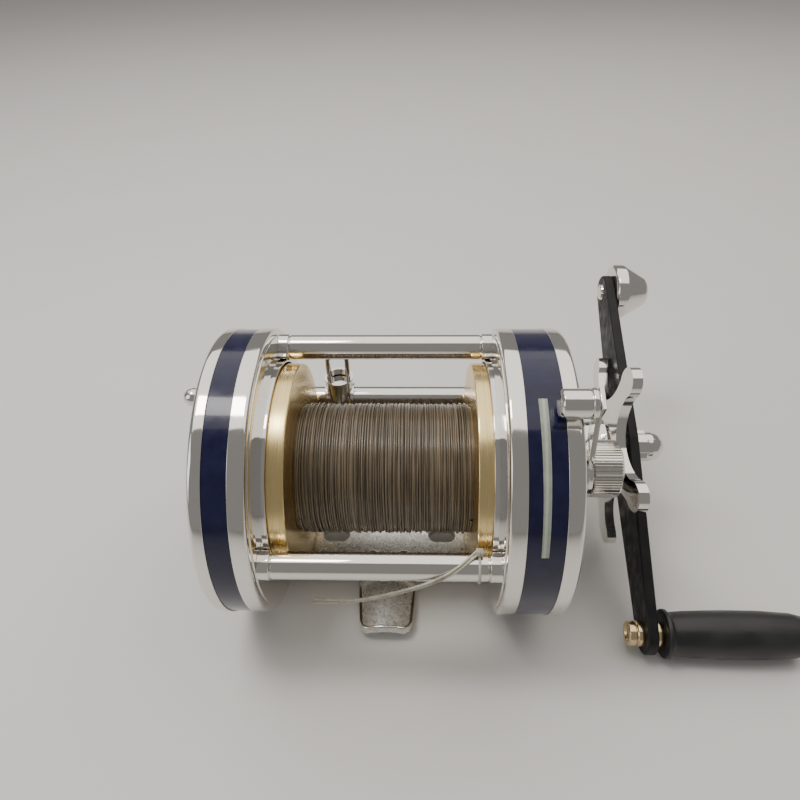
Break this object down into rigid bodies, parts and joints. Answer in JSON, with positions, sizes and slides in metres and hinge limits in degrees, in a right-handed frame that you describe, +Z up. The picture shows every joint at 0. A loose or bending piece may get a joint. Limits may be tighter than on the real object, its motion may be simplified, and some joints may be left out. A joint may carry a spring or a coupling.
{
  "type": "multiplier fishing reel",
  "caption": "Level-wind multiplier fishing reel: cylindrical spool between two round side covers on pillars, with a crank, star drag, side lever, line guide and a foot for the rod.",
  "frame": {"origin": "centre of the two clamp slots, on the underside of the base plate", "axes": "+X along the spool axis towards the crank, +Y towards the rod tip, +Z up from the foot to the spool"},
  "size_m": [0.1585, 0.1102, 0.0803],
  "materials": {
    "chrome": "polished, faint wear",
    "navy_lacquer": "gloss lacquer",
    "gold_spool": "gold anodised, fine turned",
    "nylon_line": "translucent monofilament",
    "black_lacquer": "satin black",
    "grip_plastic": "moulded, satin",
    "brass": "turned",
    "steel": "ground",
    "indicator": "inlaid pale green enamel",
    "fibre": "pressed fibre"
  },
  "bodies": {
    "frame": {"left_end_ring": "chrome", "right_end_ring": "chrome", "near_pillar": "chrome", "upper_pillar": "chrome", "pillar_screws": "steel", "base_plate": "chrome", "reel_foot": "chrome", "foot_rivets": "chrome", "inner_rings": "chrome", "left_cover": "navy_lacquer", "left_face_disc": "navy_lacquer", "left_outer_rim": "chrome", "right_cover": "navy_lacquer", "right_outer_rim": "chrome", "right_face_dome": "chrome", "cover_screws": "chrome", "indicator_strip": "indicator", "bridge_plate": "brass", "spool_bearings": "steel", "handle_bushes": "brass", "anti_reverse_dog": "steel", "gear_posts": "steel", "level_wind_tube": "chrome", "worm_bushes": "brass", "line_hitch": "nylon_line", "line_tail_low": "nylon_line", "line_tail_high": "nylon_line"},
    "spool": {"spool": "gold_spool", "line_pack": "nylon_line", "spindle": "steel", "pinion": "brass", "click_gear": "steel", "brake_hub": "fibre", "brake_blocks": "fibre"},
    "handle": {"handle_shaft": "steel", "main_gear": "brass", "wind_drive_gear": "brass", "ratchet_wheel": "steel", "drag_washers": "fibre", "crank_arm": "black_lacquer", "lock_plate": "chrome", "handle_nut": "chrome", "counterweight": "chrome", "counterweight_screw": "chrome", "grip_axle": "brass", "grip_collar": "brass"},
    "grip": {"grip": "grip_plastic"},
    "star": {"star_drag": "chrome"},
    "lever": {"lever_arm": "chrome", "lever_knob": "chrome"},
    "tension": {"tension_cap": "chrome"},
    "idler": {"idler_gear": "brass"},
    "worm": {"worm_shaft": "steel", "worm_gear": "brass"},
    "guide": {"carriage": "chrome", "line_guide": "chrome", "guide_pawl": "steel", "pawl_cap": "chrome"},
    "click": {"click_button": "chrome", "click_tongue": "steel"}
  },
  "joints": [
    {"name": "handle_turn", "type": "hinge", "parent": "frame", "child": "handle", "pos_m": [0.06, 0.01621, 0.02457], "axis": [1, 0, 0], "continuous": true},
    {"name": "spool_spin", "type": "hinge", "parent": "frame", "child": "spool", "pos_m": [0, 0, 0.0324], "axis": [1, 0, 0], "continuous": true},
    {"name": "idler_spin", "type": "hinge", "parent": "frame", "child": "idler", "pos_m": [0.0338, 0.02534, 0.02866], "axis": [1, 0, 0], "continuous": true},
    {"name": "worm_spin", "type": "hinge", "parent": "frame", "child": "worm", "pos_m": [0, 0.03228, 0.02958], "axis": [1, 0, 0], "continuous": true},
    {"name": "grip_spin", "type": "hinge", "parent": "handle", "child": "grip", "pos_m": [0.093, -0.03065, 0.0009], "axis": [1, 0, 0], "continuous": true},
    {"name": "star_turn", "type": "hinge", "parent": "handle", "child": "star", "pos_m": [0.062, 0.01621, 0.02457], "axis": [1, 0, 0], "range_deg": [-180, 180]},
    {"name": "lever_swing", "type": "hinge", "parent": "frame", "child": "lever", "pos_m": [0.052, 0, 0.0324], "axis": [1, 0, 0], "range_deg": [0, 52]},
    {"name": "tension_turn", "type": "hinge", "parent": "frame", "child": "tension", "pos_m": [0.058, 0, 0.0324], "axis": [1, 0, 0], "range_deg": [-180, 180]},
    {"name": "guide_slide", "type": "slide", "parent": "frame", "child": "guide", "axis": [1, 0, 0], "range_m": [-0.0021, 0.0333]},
    {"name": "click_slide", "type": "slide", "parent": "frame", "child": "click", "axis": [0, 0.9799, 0.1994], "range_m": [0, 0.0038]}
  ],
  "couplings": [
    {"joint": "spool_spin", "follows": "handle_turn", "ratio": -4.1429},
    {"joint": "idler_spin", "follows": "handle_turn", "ratio": -1.5},
    {"joint": "worm_spin", "follows": "handle_turn", "ratio": 2}
  ]
}
